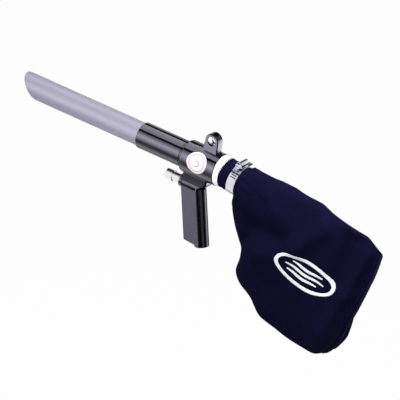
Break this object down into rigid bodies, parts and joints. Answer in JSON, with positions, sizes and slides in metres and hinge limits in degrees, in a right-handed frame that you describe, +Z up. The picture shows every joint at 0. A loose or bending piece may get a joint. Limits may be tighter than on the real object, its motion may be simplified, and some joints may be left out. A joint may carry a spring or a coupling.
{
  "type": "hand vacuum pump",
  "caption": "Compressed-air vacuum gun: pistol grip with push-button valve, ring-jet body, slanted suction tube and a cloth dust bag clamped to the outlet.",
  "frame": {"origin": "centre of the hanger eye's hole, which the gun hangs from", "axes": "+X along the barrel to the suction tube's mouth, +Y to the tool's left, through the hanger eye's hole, +Z up, away from the grip"},
  "size_m": [0.5812, 0.048, 0.2428],
  "materials": {
    "black_paint": "gloss",
    "grey_plastic": "satin",
    "nickel": "gloss",
    "white_plastic": "satin",
    "stainless": "gloss",
    "navy_cloth": "matte",
    "rubber": "satin",
    "steel": "satin",
    "brass": "satin",
    "label_film": "satin"
  },
  "bodies": {
    "tool": {"body_housing": "black_paint", "front_sleeve": "black_paint", "lock_ring": "black_paint", "grip": "black_paint", "valve_body": "nickel", "outlet_ring": "white_plastic", "clamp_band": "stainless", "clamp_housing": "stainless", "bag_cuff": "navy_cloth", "dust_bag": "navy_cloth", "sleeve_seal": "rubber", "jet_ring_seal": "rubber", "grip_seal": "rubber", "stem_seal": "rubber", "valve_body_seals": "rubber", "grip_set_screw": "steel", "grip_dowel": "steel", "valve_spring": "steel", "jet_ring": "brass", "label_disc": "label_film"},
    "nozzle": {"suction_tube": "grey_plastic"},
    "button": {"push_button": "nickel", "valve_stem": "steel", "poppet_washer": "rubber"},
    "screw": {"clamp_screw": "stainless"}
  },
  "joints": [
    {"name": "button_press", "type": "slide", "parent": "tool", "child": "button", "axis": [-1, 0, 0], "range_m": [0, 0.0045], "stiffness_N_per_m": 800, "springref_m": -0.003, "deforming": ["valve_spring"]},
    {"name": "nozzle_turn", "type": "hinge", "parent": "tool", "child": "nozzle", "pos_m": [0.044, 0, -0.0365], "axis": [1, 0, 0], "continuous": true},
    {"name": "clamp_screw_turn", "type": "hinge", "parent": "tool", "child": "screw", "pos_m": [-0.04874, 0.002, -0.01337], "axis": [0, 1, 0], "continuous": true}
  ]
}
